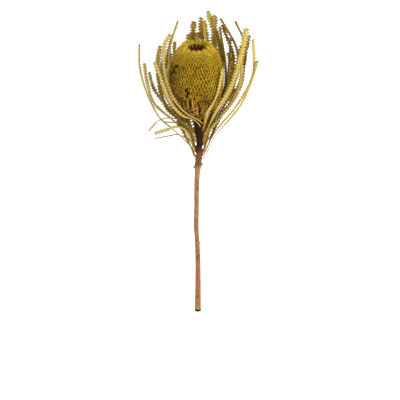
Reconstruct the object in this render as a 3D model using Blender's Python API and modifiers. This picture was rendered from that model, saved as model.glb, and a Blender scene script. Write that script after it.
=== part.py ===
# A dried banksia flower that lies on a table: a woody stem, an egg-shaped head
# of packed florets, and a cup of narrow saw-edged leaves growing up round it.
# It is modelled upright, with the node where the leaves begin at the origin,
# +Z up the stem and -Y to the front, and an empty then lays it down.

import math

import bmesh
import bpy
import numpy as np
from mathutils import Matrix, Vector, geometry

MM = 0.001

# The whole flower, in millimetres and degrees
NECK_LENGTH = 55.0
HEAD_LENGTH = 92.5
HEAD_RADIUS = 32.0
SEAT_GAP = 0.3
RISE = 14.0
NODE_PLACE = (-1.25, 3.8, 37.35)

# Leaves
LEAF_THICKNESS = 0.8
LEAFSTALK_WIDTH = 1.7
STALK_SHARE = 0.13
BLADE_SHARE = 0.34
STALK_STATIONS = 3
TOOTH_PITCH = 10.4
TOOTH_DEPTH = 1.3
TIP_TAPER = 0.8
FACING_HEIGHT = 130.0
LEAF_POINTS = 44
LEAF_SPACING = 0.7
SETTLING_ROUNDS = 240
ROUNDS_A_SEARCH = 12

# Florets
FLORET_COLUMNS = 28
FLORET_ROWS = 27
PIT_ROWS = 3
FLORET_REACH = 4.5
FLORET_TIP = 0.5
FLORET_LEAN = 1.1

# The head's outline from its seat to the bottom of the pit at its top, as
# shares of the head's length and of its radius
HEAD_OUTLINE = (
    (0.0, 0.24),
    (0.025, 0.36),
    (0.085, 0.54),
    (0.175, 0.74),
    (0.31, 0.9),
    (0.44, 0.985),
    (0.565, 1.0),
    (0.69, 0.97),
    (0.805, 0.895),
    (0.893, 0.785),
    (0.96, 0.62),
    (1.0, 0.46),
    (0.975, 0.33),
    (0.93, 0.26),
    (0.865, 0.2),
)

# The stem from its cut end to the head's seat, as millimetres: height from the
# node, drift to the right, drift to the front, and radius
STEM_ROUTE = (
    (-191.0, 1.6, 13.1, 3.8),
    (-186.0, 1.6, 12.2, 3.6),
    (-150.0, 1.8, 7.6, 3.2),
    (-122.0, 1.5, 4.9, 3.0),
    (-97.0, 0.5, 3.2, 2.8),
    (-84.0, -0.4, 2.5, 2.7),
    (-60.0, 0.0, 0.9, 2.6),
    (-35.0, 0.2, 0.4, 2.7),
    (-14.0, 0.9, 0.1, 3.0),
    (-7.0, 1.6, 0.0, 3.9),
    (-3.0, 2.0, 0.0, 4.2),
    (2.0, 2.4, 0.0, 3.7),
    (10.0, 3.0, 0.0, 3.2),
    (30.0, 3.4, 0.0, 3.4),
    (44.0, 2.8, 0.0, 3.9),
    (55.0, 1.5, 0.0, 6.6),
)
STEM_RINGS = 44

# Stubs of shed leaves round the node: height, azimuth, length and radius
STEM_STUBS = (
    (-7.0, -80.0, 3.4, 1.1),
    (-4.0, 95.0, 2.6, 1.2),
    (-5.5, 10.0, 2.2, 1.2),
    (-2.5, -150.0, 2.4, 1.1),
)

# Leaves, each as: name, root as height and azimuth, blade width, roll of the
# blade at its middle and at its tip, then the route as height, radius and
# azimuth. Azimuth 0 is the front, 90 the right, 180 the underside when laid.
LEAVES = (
    ("leaf_left_01", (12, -92), 7.2, (22, 28), (
        (30, 16, -92), (54, 42, -92), (66, 50.5, -92), (92, 61, -92), (118, 67, -93),
        (145, 67, -96),
    )),
    ("leaf_left_02", (17, -104), 7.2, (55, 65), (
        (46, 25, -104), (67, 52, -106), (92, 61, -107), (117, 65, -108),
    )),
    ("leaf_left_03", (30, -102), 6.6, (-15, -10), (
        (49, 22, -116), (66, 42, -117), (84, 57, -116), (104, 62, -114),
    )),
    ("leaf_left_04", (24, -125), 6.8, (-15, -30), (
        (46, 21, -124), (61, 45, -125), (103, 56, -124), (136, 52, -124),
    )),
    ("leaf_left_05", (50, 55), 7.2, (45, 60), (
        (61.5, 17.4, 4), (67.8, 22.2, -22), (84.8, 31.8, -54), (113.4, 38.5, -75),
        (146, 37.5, -86), (159.5, 30, -90),
    )),
    ("leaf_left_06", (46, 28), 6.6, (50, 60), (
        (58, 13.5, -4), (68, 26.5, -39.5), (84, 36.8, -58), (107.4, 42.5, -70.5),
        (128.7, 49.2, -80.6),
    )),
    ("leaf_left_07", (16, -137), 6.4, (0, 10), (
        (50, 31, -134), (78, 53, -134), (117, 50, -134), (167, 35, -140),
    )),
    ("leaf_left_08", (30, -146), 6.6, (0, 10), (
        (55, 29, -146), (76, 46, -146), (110, 48, -146), (139, 44, -143),
    )),
    ("leaf_left_09", (34, -128), 6.6, (55, 65), (
        (61, 28, -128), (80, 41, -128), (108, 42, -128), (136, 40, -128),
    )),
    ("leaf_left_10", (38, -110), 7.2, (60, 60), (
        (62, 23, -110), (81, 36, -110), (100, 39, -112), (118, 36, -118),
    )),
    ("leaf_right_01", (29, 118), 7.8, (-10, -10), (
        (59, 22, 118), (81, 38, 120), (115, 41, 122), (161, 36, 128),
    )),
    ("leaf_right_02", (24, 134), 7.2, (0, -20), (
        (58, 24, 134), (85, 40, 134), (117, 43, 134), (154, 40, 142),
    )),
    ("leaf_right_03", (12, 112), 7.2, (10, 10), (
        (54, 25, 112), (88, 49, 112), (130, 53, 113), (172, 36, 128),
    )),
    ("leaf_right_04", (18, 128), 7.2, (20, 10), (
        (57, 27, 128), (87, 48, 126), (120, 54, 126), (161, 44, 136),
    )),
    ("leaf_right_05", (35, 104), 6.6, (-10, 0), (
        (65, 20, 104), (90, 36, 106), (119, 41, 108), (151, 43, 108),
    )),
    ("leaf_right_06", (25, 70), 9.0, (-50, -60), (
        (60, 21, 71), (97, 41.5, 76), (137, 53, 80), (168, 58, 86),
    )),
    ("leaf_right_07", (14, 98), 7.2, (-15, 20), (
        (54, 25, 98), (96, 51, 99), (138, 59, 100), (171, 48, 108),
    )),
    ("leaf_right_08", (6, 104), 6.6, (28, 25), (
        (56, 30, 104), (93, 53.5, 106), (127, 60, 107), (152, 66, 107),
    )),
    ("leaf_right_09", (3, 86), 6.0, (-38, -40), (
        (34, 22, 86), (70, 51, 88), (100, 64, 89), (120, 68, 90), (153, 66, 92),
    )),
    ("leaf_right_10", (7, 78), 6.6, (-25, -35), (
        (35, 20, 78), (69, 45.5, 80), (103, 64, 82), (130, 71.5, 84),
    )),
    ("leaf_right_11", (10, 90), 9.0, (-50, -55), (
        (46, 20, 90), (71, 40, 91), (96, 51.4, 92), (132, 53, 92),
    )),
    ("leaf_right_12", (40, 62), 6.0, (-10, -10), (
        (55, 11.5, 52), (70.4, 24.5, 31), (93, 33.5, 46), (113.9, 36, 55), (124.5, 36, 58),
    )),
    ("leaf_right_13", (20, 82), 7.8, (-40, -40), (
        (57, 19, 82), (83, 37, 84), (111, 46, 86), (147, 52, 90),
    )),
    ("leaf_low_01", (8, -70), 6.0, (40, 70), (
        (32.3, 9.2, -70), (41.6, 14.5, -70), (47, 23, -72), (43.9, 36, -76.3), (39.3, 50, -80),
    )),
    ("leaf_low_02", (3, -78), 2.8, (10, 10), (
        (28.5, 10.5, -74), (37.6, 22.8, -74), (37.1, 30.5, -75), (33.5, 50.3, -78),
    )),
    ("leaf_low_03", (27, -60), 2.7, (6, 14), (
        (48, 11, -60), (59, 27, -70), (57, 44, -76), (43, 57, -80),
    )),
    ("leaf_low_04", (33, -76), 3.2, (10, 10), (
        (45, 9, -78), (50.5, 20, -81), (51, 29, -85), (52, 38, -86),
    )),
    ("leaf_back_01", (33, -168), 7.9, (0, 0), (
        (54, 32, -168), (81, 46, -168), (114, 46, -168), (147, 40, -167),
    )),
    ("leaf_back_02", (21, -174), 7.8, (0, 0), (
        (48, 32, -174), (74, 52, -173), (117, 53, -173), (163, 40, -176),
    )),
    ("leaf_back_03", (38, 180), 7.2, (0, 0), (
        (57, 28, 180), (83, 43, 179), (115, 42, 180), (149, 38, 178),
    )),
    ("leaf_back_04", (26, 173), 7.8, (0, 0), (
        (50, 32, 173), (74, 50, 172), (118, 50, 171), (167, 40, 173),
    )),
    ("leaf_back_05", (16, 160), 7.8, (0, 60), (
        (50, 33, 158), (76, 54, 153), (118, 56, 149), (174, 44, 164),
    )),
    ("leaf_back_06", (31, 158), 8.4, (0, 0), (
        (52, 30, 158), (76, 47, 158), (121, 48, 155), (172, 40, 146),
    )),
    ("leaf_back_07", (36, 165), 7.2, (0, 30), (
        (56, 28, 165), (79, 43, 163), (122, 43, 161), (166, 33, 165),
    )),
    ("leaf_under_01", (8, -151), 7.2, (0, 0), (
        (44, 36, -151), (68, 62, -152), (96, 72, -152), (116, 66, -152),
    )),
    ("leaf_under_02", (5, -163), 7.2, (0, 0), (
        (38, 32, -163), (66, 58, -164), (100, 70, -164), (120, 64, -164),
    )),
    ("leaf_under_03", (11, -176), 7.2, (0, 0), (
        (42, 34, -176), (68, 58, -177), (104, 68, -177), (122, 60, -176),
    )),
    ("leaf_under_04", (1, 178), 7.2, (0, 0), (
        (38, 34, 171), (70, 60, 170), (108, 70, 170), (124, 62, 170),
    )),
    ("leaf_under_05", (8, 164), 7.2, (0, 0), (
        (40, 33, 160), (68, 60, 158), (106, 71, 158), (122, 63, 158),
    )),
    ("leaf_under_06", (2, 148), 7.2, (0, 0), (
        (38, 34, 147), (68, 62, 146), (100, 74, 146), (118, 68, 146),
    )),
    ("leaf_under_07", (4, -130), 6.6, (10, 20), (
        (42, 32, -139), (68, 56, -140), (92, 66, -140), (108, 66, -140),
    )),
)

COLOURS = {
    "stem": ((0.36, 0.19, 0.1), 0.7),
    "head": ((0.42, 0.3, 0.04), 0.75),
    "leaf": ((0.47, 0.38, 0.13), 0.65),
}


def clear_scene():
    """Takes every object out of the scene the script is run in."""
    for obj in list(bpy.data.objects):
        bpy.data.objects.remove(obj)


def make_collection(name):
    """A new collection, linked into the scene."""
    collection = bpy.data.collections.new(name)
    bpy.context.scene.collection.children.link(collection)
    return collection


def make_material(name):
    """A plain finish in the part's own colour."""
    colour, roughness = COLOURS[name]
    material = bpy.data.materials.new(name)
    material.use_nodes = True
    shader = material.node_tree.nodes["Principled BSDF"]
    shader.inputs["Base Color"].default_value = (*colour, 1)
    shader.inputs["Roughness"].default_value = roughness
    shader.inputs["Metallic"].default_value = 0
    return material


def spot(height, radius, azimuth):
    """A point of the upright flower, from millimetres and degrees."""
    turn = math.radians(azimuth)
    return Vector((radius * math.sin(turn), -radius * math.cos(turn), height)) * MM


def laid_down():
    """The matrix that lays the upright flower on the table, front upwards."""
    place = Matrix.Translation(Vector(NODE_PLACE) * MM)
    return place @ Matrix.Rotation(math.radians(RISE - 90), 4, "X")


def along(points, share):
    """The point at a share of the way along a chain of points."""
    reach = share * (len(points) - 1)
    step = min(int(reach), len(points) - 2)
    return points[step].lerp(points[step + 1], reach - step)


def smooth_line(knots, count):
    """Evenly spaced points on a smooth curve through the knots."""
    slopes = [
        (knots[min(i + 1, len(knots) - 1)] - knots[max(i - 1, 0)]) / 2
        for i in range(len(knots))
    ]
    dense = [knots[0]]
    for i in range(len(knots) - 1):
        span = (knots[i + 1] - knots[i]).length
        out = slopes[i].normalized() * span / 3
        into = slopes[i + 1].normalized() * span / 3
        dense += geometry.interpolate_bezier(
            knots[i], knots[i] + out, knots[i + 1] - into, knots[i + 1], 33
        )[1:]
    walked = [0.0]
    for before, after in zip(dense, dense[1:]):
        walked.append(walked[-1] + (after - before).length)
    line, step = [], 0
    for i in range(count):
        goal = walked[-1] * i / (count - 1)
        while step < len(dense) - 2 and walked[step + 1] < goal:
            step += 1
        share = (goal - walked[step]) / (walked[step + 1] - walked[step])
        line.append(dense[step].lerp(dense[step + 1], share))
    return line


def length_of(line):
    """The length of a chain of points."""
    return sum((after - before).length for before, after in zip(line, line[1:]))


def ease(low, high, value):
    """A smooth step from 0 at low to 1 at high."""
    share = min(max((value - low) / (high - low), 0), 1)
    return share * share * (3 - 2 * share)


def stem_radius(height):
    """The stem's radius in millimetres at a height above the node."""
    for low, high in zip(STEM_ROUTE, STEM_ROUTE[1:]):
        if height <= high[0]:
            share = (height - low[0]) / (high[0] - low[0])
            return low[3] + (high[3] - low[3]) * max(share, 0)
    return STEM_ROUTE[-1][3]


def stem_drift(heights):
    """How far the stem, or what stands on it, is off the flower's axis, in mm."""
    known = [height for height, _, _, _ in STEM_ROUTE] + [NECK_LENGTH + 4]
    side = [right for _, right, _, _ in STEM_ROUTE] + [0]
    front = [-front for _, _, front, _ in STEM_ROUTE] + [0]
    moved = np.interp(heights, known, side), np.interp(heights, known, front)
    return np.stack((*moved, np.zeros_like(moved[0])), axis=-1)


def mesh_of(curve_obj):
    """A mesh object of a curve, with its end caps joined to its sides."""
    bpy.context.view_layer.update()
    graph = bpy.context.evaluated_depsgraph_get()
    mesh = bpy.data.meshes.new_from_object(curve_obj.evaluated_get(graph))
    shape = bmesh.new()
    shape.from_mesh(mesh)
    bmesh.ops.remove_doubles(shape, verts=shape.verts, dist=0.01 * MM)
    shape.to_mesh(mesh)
    shape.free()
    name, place = curve_obj.name, curve_obj.matrix_world.copy()
    bpy.data.objects.remove(curve_obj)
    obj = bpy.data.objects.new(name, mesh)
    obj.matrix_world = place
    return obj


def join_all(obj, extras):
    """Joins the extra pieces to obj with one Boolean union."""
    group = make_collection(obj.name + "_extras")
    for extra in extras:
        group.objects.link(extra)
    union = obj.modifiers.new("union", "BOOLEAN")
    union.operation = "UNION"
    union.operand_type = "COLLECTION"
    union.collection = group
    bpy.context.view_layer.update()
    graph = bpy.context.evaluated_depsgraph_get()
    joined = bpy.data.meshes.new_from_object(obj.evaluated_get(graph))
    obj.modifiers.clear()
    obj.data = joined
    for extra in extras:
        bpy.data.objects.remove(extra)
    bpy.data.collections.remove(group)


def shade(obj, angle):
    """Smooth shading, with sharp edges above an angle in degrees."""
    obj.data.shade_smooth()
    obj.data.set_sharp_from_angle(angle=math.radians(angle))


def make_stub(height, azimuth, length, radius):
    """The stub of a shed leaf, a small cone leaning up out of the stem."""
    shape = bmesh.new()
    bmesh.ops.create_cone(
        shape, cap_ends=True, segments=6, radius1=radius * MM, radius2=radius * 0.5 * MM,
        depth=2 * length * MM,
    )
    mesh = bpy.data.meshes.new("stub")
    shape.to_mesh(mesh)
    shape.free()
    stub = bpy.data.objects.new("stub", mesh)
    out = spot(0, 1, azimuth).normalized()
    lean = (out + Vector((0, 0, 0.8))).normalized()
    stub.rotation_mode = "QUATERNION"
    stub.rotation_quaternion = lean.to_track_quat("Z", "X")
    stub.location = spot(height, stem_radius(height) - 0.6, azimuth) + Vector(stem_drift(height)) * MM
    return stub


def make_stem(collection):
    """The stem in one piece, from its cut end up to the head's seat."""
    curve = bpy.data.curves.new("stem", "CURVE")
    curve.dimensions = "3D"
    curve.bevel_depth = MM
    curve.bevel_resolution = 2
    curve.use_fill_caps = True
    centres = [Vector((side, -front, height)) * MM for height, side, front, _ in STEM_ROUTE]
    centres[-1].z -= SEAT_GAP * MM
    line = smooth_line(centres, STEM_RINGS)
    spline = curve.splines.new("POLY")
    spline.points.add(len(line) - 1)
    for point, centre in zip(spline.points, line):
        point.co = (*centre, 1)
        point.radius = stem_radius(centre.z / MM)
    obj = bpy.data.objects.new("stem", curve)
    collection.objects.link(obj)
    stem = mesh_of(obj)
    collection.objects.link(stem)
    join_all(stem, [make_stub(*stub) for stub in STEM_STUBS])
    shade(stem, 40)
    return stem


def head_skin(line, share, turn, sink):
    """A point of the head, at a share of its outline and a turn in radians."""
    here = along(line, share)
    slope = along(line, min(share + 0.01, 1)) - along(line, max(share - 0.01, 0))
    outward = Vector((slope.z, 0, -slope.x)).normalized()
    here = here - outward * sink * MM
    return Vector((here.x * math.sin(turn), -here.x * math.cos(turn), here.z))


def head_line():
    """The head's outline as evenly spaced points, from its seat to its pit."""
    knots = [
        Vector((radius * HEAD_RADIUS, 0, NECK_LENGTH + height * HEAD_LENGTH)) * MM
        for height, radius in HEAD_OUTLINE
    ]
    return smooth_line(knots, 120)


def make_head(collection):
    """The flower head: a core whose every diamond cell grows into a floret."""
    line = head_line()
    rows = FLORET_ROWS + PIT_ROWS
    step = math.tau / FLORET_COLUMNS

    def sink(share):
        return FLORET_REACH * min(1, 0.2 + 4 * share)

    shape = bmesh.new()
    lattice = []
    for row in range(rows + 1):
        share = row / rows
        ring = []
        for column in range(FLORET_COLUMNS):
            turn = (column + 0.5 * (row % 2)) * step
            ring.append(shape.verts.new(head_skin(line, share, turn, sink(share))))
        lattice.append(ring)

    def corner(row, column):
        return lattice[row][column % FLORET_COLUMNS]

    cells = []
    for row in range(1, rows):
        shift = row % 2
        for column in range(FLORET_COLUMNS):
            cell = shape.faces.new((
                corner(row - 1, column + shift), corner(row, column + 1),
                corner(row + 1, column + shift), corner(row, column),
            ))
            cells.append((cell, row, column + 0.5 + 0.5 * shift))
    for column in range(FLORET_COLUMNS):
        shape.faces.new((corner(0, column + 1), corner(1, column), corner(0, column)))
        shift = rows % 2
        shape.faces.new((
            corner(rows, column), corner(rows - 1, column + shift), corner(rows, column + 1),
        ))
    shape.faces.new([corner(0, column) for column in range(FLORET_COLUMNS)])
    shape.faces.new([corner(rows, -column) for column in range(FLORET_COLUMNS)])

    grown = [entry for entry in cells if entry[1] <= FLORET_ROWS]
    tips = bmesh.ops.extrude_discrete_faces(shape, faces=[cell for cell, _, _ in grown])["faces"]
    for tip, (_, row, column) in zip(tips, grown):
        share, turn = row / rows, column * step
        corners = (
            (-1, 0), (0, 0.5), (1, 0), (0, -0.5),
        )
        for vert, (up, side) in zip(tip.verts, corners):
            vert.co = head_skin(
                line,
                share + (FLORET_LEAN + up * FLORET_TIP) / rows,
                turn + side * FLORET_TIP * step,
                0,
            )
    bmesh.ops.recalc_face_normals(shape, faces=shape.faces)
    mesh = bpy.data.meshes.new("flower_head")
    shape.to_mesh(mesh)
    shape.free()
    head = bpy.data.objects.new("flower_head", mesh)
    collection.objects.link(head)
    return head


def turned_about(vectors, axes, angles):
    """Vectors turned about unit axes they are square to, by angles in radians."""
    return vectors * np.cos(angles)[..., None] + np.cross(axes, vectors) * np.sin(angles)[..., None]


def unit(vectors):
    """The vectors at a length of 1."""
    return vectors / np.linalg.norm(vectors, axis=-1, keepdims=True)


def blade_axes(lines, rolls):
    """Directions along, across and through the blades at every point of them."""
    ahead = unit(np.gradient(lines, axis=1))
    across = unit(np.cross(ahead, np.array((0, 0, FACING_HEIGHT)) - lines))
    across = turned_about(across, ahead, rolls)
    return np.stack((ahead, across, np.cross(ahead, across)), axis=2)


def reach_of(axes, halves, direction):
    """How far boxes with these axes and half sizes reach along a direction."""
    return (abs((axes * direction[..., None, :]).sum(-1)) * halves).sum(-1)


def near_pairs(lines):
    """Pairs of points, each on a leaf of its own, that lie near each other."""
    points = lines.reshape(-1, 3)
    owner = np.repeat(np.arange(len(lines)), lines.shape[1])
    near = owner[:, None] < owner[None, :]
    for side in range(3):
        near &= abs(points[:, None, side] - points[None, :, side]) < 12
    return np.nonzero(near)


def push_apart(lines, axes, halves, pairs):
    """The moves that take leaves which touch each other just clear."""
    points, boxes, sizes = lines.reshape(-1, 3), axes.reshape(-1, 3, 3), halves.reshape(-1, 3)
    first, second = pairs
    between = points[second] - points[first]
    choices = np.concatenate((boxes[first, 1:], boxes[second, 1:]), axis=1)
    rooms = []
    for choice in range(4):
        way = choices[:, choice]
        taken = reach_of(boxes[first], sizes[first], way) + reach_of(boxes[second], sizes[second], way)
        rooms.append(abs((between * way).sum(-1)) - taken)
    rooms = np.stack(rooms, axis=1)
    best = rooms.argmax(axis=1)
    room = rooms[np.arange(len(best)), best]
    touching = room < 0
    way = choices[np.arange(len(best)), best]
    way = way * np.sign((between * way).sum(-1) + 1e-9)[:, None]
    move = (way * -room[:, None] / 2)[touching]
    moves, shares = np.zeros_like(points), np.zeros(len(points))
    np.add.at(moves, second[touching], move)
    np.add.at(moves, first[touching], -move)
    np.add.at(shares, second[touching], 1)
    np.add.at(shares, first[touching], 1)
    return (moves / np.maximum(shares, 1)[:, None]).reshape(lines.shape), int(touching.sum())


def push_off_body(lines, axes, halves):
    """The moves that take leaves off the stem, the head and the table."""
    heights, radii = body_outline()
    outward = (lines - stem_drift(lines[..., 2])) * (1, 1, 0)
    radius = np.linalg.norm(outward, axis=-1)
    outward = outward / radius[..., None]
    need = np.interp(lines[..., 2], heights, radii) + reach_of(axes, halves, outward)
    moves = outward * np.maximum(need - radius, 0)[..., None]
    lie = np.array(laid_down())
    up = lie[2, :3]
    low = lines @ up + NODE_PLACE[2] - reach_of(axes, halves, np.broadcast_to(up, lines.shape))
    return moves + up * np.maximum(-LEAF_SPACING / 2 - low, 0)[..., None]


def body_outline():
    """Heights and radii of the stem and the head together, in millimetres."""
    heights = [height for height, _, _, _ in STEM_ROUTE[:-1]]
    radii = [radius for _, _, _, radius in STEM_ROUTE[:-1]]
    for point in head_line():
        if point.x > 0.3 * HEAD_RADIUS * MM and point.z / MM > heights[-1]:
            heights.append(point.z / MM)
            radii.append(point.x / MM)
    return heights + [heights[-1] + 2], radii + [0]


def leaf_root(root):
    """The point on the stem where a leaf begins, in millimetres."""
    height, azimuth = root
    root = spot(height, stem_radius(height) + SEAT_GAP + LEAF_THICKNESS / 2, azimuth) / MM
    return root + Vector(stem_drift(height))


def settled_leaves():
    """The lines of the leaves, bent just enough to keep clear of each other."""
    lines, rolls, halves = [], [], []
    for _, root, width, roll, route in LEAVES:
        knots = [leaf_root(root)] + [spot(*place) / MM for place in route]
        line = smooth_line(knots, LEAF_POINTS)
        lines.append(line)
        shares = np.linspace(0, 1, LEAF_POINTS)
        rolls.append(np.radians(np.interp(shares, (0, 0.5, 1), (0, *roll))))
        half = [blade_half(share, width) for share in shares]
        step = length_of(line) / LEAF_POINTS
        thick = (LEAF_THICKNESS + LEAF_SPACING) / 2
        halves.append([(step * 0.6, wide + LEAF_SPACING / 2, thick) for wide in half])
    lines, rolls, halves = np.array(lines), np.array(rolls), np.array(halves)
    for count in range(SETTLING_ROUNDS):
        if count % ROUNDS_A_SEARCH == 0:
            pairs = near_pairs(lines)
        axes = blade_axes(lines, rolls)
        moves, touching = push_apart(lines, axes, halves, pairs)
        moves += push_off_body(lines, axes, halves)
        moves[:, 0] = 0
        for _ in range(3):
            moves[:, 1:-1] = (moves[:, :-2] + 2 * moves[:, 1:-1] + moves[:, 2:]) / 4
            moves[:, -1] = (moves[:, -2] + moves[:, -1]) / 2
        lines = lines + moves
    print("leaves still touching at", touching, "places")
    return lines, rolls


def blade_half(share, width):
    """Half the width of a leaf at a share of its length, without the teeth."""
    growth = ease(STALK_SHARE - 0.06, BLADE_SHARE, share)
    return (LEAFSTALK_WIDTH + (width - LEAFSTALK_WIDTH) * growth) / 2


def leaf_stations(length, width):
    """Shares of the length and half widths, one of each for every station."""
    stations = [
        (STALK_SHARE * i / STALK_STATIONS, LEAFSTALK_WIDTH / 2) for i in range(STALK_STATIONS)
    ]
    teeth = max(4, round(length * (1 - STALK_SHARE) / TOOTH_PITCH))
    for i in range(2 * teeth + 1):
        share = STALK_SHARE + (1 - STALK_SHARE) * i / (2 * teeth)
        half = blade_half(share, width)
        if i % 2 == 0:
            half -= TOOTH_DEPTH * ease(STALK_SHARE - 0.06, BLADE_SHARE, share)
        if i == 2 * teeth:
            half = width / 2 * TIP_TAPER
        stations.append((share, half))
    return stations


def make_leaf(collection, name, width, line, rolls):
    """One leaf: a narrow stalk that widens into a long saw-edged blade."""
    axes = blade_axes(line[None], rolls[None])[0]
    places = np.linspace(0, 1, len(line))
    shape = bmesh.new()
    before = None
    for share, half in leaf_stations(length_of([Vector(point) for point in line]), width):
        centre = Vector([np.interp(share, places, line[:, k]) for k in range(3)])
        across = Vector([np.interp(share, places, axes[:, 1, k]) for k in range(3)]).normalized()
        pair = [
            shape.verts.new((centre + side * half * across - Vector(line[0])) * MM)
            for side in (-1, 1)
        ]
        if before:
            shape.faces.new((before[0], before[1], pair[1]))
            shape.faces.new((before[0], pair[1], pair[0]))
        before = pair
    mesh = bpy.data.meshes.new(name)
    shape.to_mesh(mesh)
    shape.free()
    leaf = bpy.data.objects.new(name, mesh)
    leaf.location = Vector(line[0]) * MM
    collection.objects.link(leaf)
    skin = leaf.modifiers.new("thickness", "SOLIDIFY")
    skin.thickness = LEAF_THICKNESS * MM
    skin.offset = 0
    return leaf


def main():
    clear_scene()
    collection = make_collection("dried_banksia_flower")
    flower = bpy.data.objects.new("flower", None)
    collection.objects.link(flower)
    flower.matrix_world = laid_down()

    stem = make_stem(collection)
    stem.data.materials.append(make_material("stem"))
    head = make_head(collection)
    head.data.materials.append(make_material("head"))
    leaf_finish = make_material("leaf")
    lines, rolls = settled_leaves()
    leaves = [
        make_leaf(collection, leaf[0], leaf[2], line, roll)
        for leaf, line, roll in zip(LEAVES, lines, rolls)
    ]
    for leaf in leaves:
        leaf.data.materials.append(leaf_finish)
    for obj in (stem, head, *leaves):
        obj.parent = flower


main()
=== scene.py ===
import math

import bpy
import numpy as np
from mathutils import Matrix, Vector, geometry, noise


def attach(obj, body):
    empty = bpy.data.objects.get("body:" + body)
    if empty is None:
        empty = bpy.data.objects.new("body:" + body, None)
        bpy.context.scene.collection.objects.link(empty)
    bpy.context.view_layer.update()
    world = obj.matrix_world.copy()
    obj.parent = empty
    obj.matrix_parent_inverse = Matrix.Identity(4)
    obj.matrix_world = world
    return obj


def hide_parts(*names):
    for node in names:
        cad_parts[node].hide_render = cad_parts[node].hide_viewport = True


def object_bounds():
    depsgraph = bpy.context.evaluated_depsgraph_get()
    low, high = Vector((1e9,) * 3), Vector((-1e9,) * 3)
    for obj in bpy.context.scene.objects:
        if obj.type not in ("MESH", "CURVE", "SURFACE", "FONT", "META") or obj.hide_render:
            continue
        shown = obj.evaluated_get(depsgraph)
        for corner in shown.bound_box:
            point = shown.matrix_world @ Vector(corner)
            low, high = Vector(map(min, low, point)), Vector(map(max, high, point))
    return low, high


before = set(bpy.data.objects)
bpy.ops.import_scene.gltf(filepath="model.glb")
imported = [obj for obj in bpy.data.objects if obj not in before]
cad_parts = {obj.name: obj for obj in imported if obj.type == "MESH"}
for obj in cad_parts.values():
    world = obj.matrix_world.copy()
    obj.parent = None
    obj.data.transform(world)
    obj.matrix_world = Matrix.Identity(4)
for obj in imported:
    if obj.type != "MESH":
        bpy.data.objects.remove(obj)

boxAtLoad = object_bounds()
mm = 0.001
print("frame loaded, flower box", boxAtLoad)

# The flower is worked out upright in millimetres: node at the origin, +Z up the
# stem, -Y to the front. At the end every point is laid down on the table.
pose = {"rise": 14.0, "node": (-1.25, 3.8, 37.35), "seatGap": 0.3, "tableGap": 0.03}
layTurn = np.array(Matrix.Rotation(math.radians(pose["rise"] - 90), 3, "X"))


def toTable(points):
    laid = np.asarray(points) @ layTurn.T + np.array(pose["node"])
    laid[:, 2] = np.maximum(laid[:, 2], pose["tableGap"])  # nothing dips under the table
    return laid * mm


def spot(height, radius, azimuth):
    turn = math.radians(azimuth)
    return Vector((radius * math.sin(turn), -radius * math.cos(turn), height))


def aroundAxis(radius, turn, height):
    # the same for arrays, with the turn in radians
    return np.stack(np.broadcast_arrays(radius * np.sin(turn), -radius * np.cos(turn), height), axis=-1)


def smoothLine(knots, count):
    slopes = [(knots[min(i + 1, len(knots) - 1)] - knots[max(i - 1, 0)]) / 2 for i in range(len(knots))]
    dense = [knots[0]]
    for i in range(len(knots) - 1):
        span = (knots[i + 1] - knots[i]).length
        out = slopes[i].normalized() * span / 3
        into = slopes[i + 1].normalized() * span / 3
        dense += geometry.interpolate_bezier(
            knots[i], knots[i] + out, knots[i + 1] - into, knots[i + 1], 33
        )[1:]
    walked = [0.0]
    for before, after in zip(dense, dense[1:]):
        walked.append(walked[-1] + (after - before).length)
    line, step = [], 0
    for i in range(count):
        goal = walked[-1] * i / (count - 1)
        while step < len(dense) - 2 and walked[step + 1] < goal:
            step += 1
        share = (goal - walked[step]) / (walked[step + 1] - walked[step])
        line.append(dense[step].lerp(dense[step + 1], share))
    return line


def smoothProfile(profile, count):
    # a smooth line through pairs of radius and height
    return np.array(smoothLine([Vector((radius, 0, height)) for radius, height in profile], count))[:, (0, 2)]


def ease(low, high, value):
    share = np.clip((np.asarray(value, float) - low) / (high - low), 0, 1)
    return share * share * (3 - 2 * share)


def lengthOf(line):
    return np.linalg.norm(np.diff(line, axis=0), axis=1).sum()


def unit(vectors):
    return vectors / np.maximum(np.linalg.norm(vectors, axis=-1, keepdims=True), 1e-9)


def wobble(points, scale, seed=0.0):
    # smooth noise from -1 to 1 at each point
    flat = np.asarray(points).reshape(-1, 3) * scale
    values = [noise.noise(Vector((p[0] + seed, p[1] - seed, p[2] + 2 * seed))) for p in flat]
    return np.array(values).reshape(np.asarray(points).shape[:-1])


# Meshes

def addObject(name, data):
    made = bpy.data.objects.new(name, data)
    bpy.context.scene.collection.objects.link(made)
    return made


def makePiece(name, points, faces, materials, maps=(), faceSlots=None, standsFor=()):
    mesh = bpy.data.meshes.new(name)
    mesh.from_pydata(toTable(points).tolist(), [], faces)
    corners = np.empty(len(mesh.loops), int)
    mesh.loops.foreach_get("vertex_index", corners)
    for mapName, values in maps:
        layer = mesh.uv_layers.new(name=mapName)
        layer.data.foreach_set("uv", np.asarray(values, float)[corners].ravel())
    for material in materials:
        mesh.materials.append(material)
    if faceSlots is not None:
        mesh.polygons.foreach_set("material_index", np.asarray(faceSlots, int))
    mesh.polygons.foreach_set("use_smooth", np.ones(len(mesh.polygons), bool))
    mesh.update()
    piece = addObject(name, mesh)
    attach(piece, "root")
    if standsFor:
        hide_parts(*standsFor)


def quads(*corners):
    return np.stack(corners, axis=-1).reshape(-1, 4).tolist()


def ringQuads(index):
    after = np.roll(index, -1, axis=1)
    return quads(index[:-1], after[:-1], after[1:], index[1:])


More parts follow.
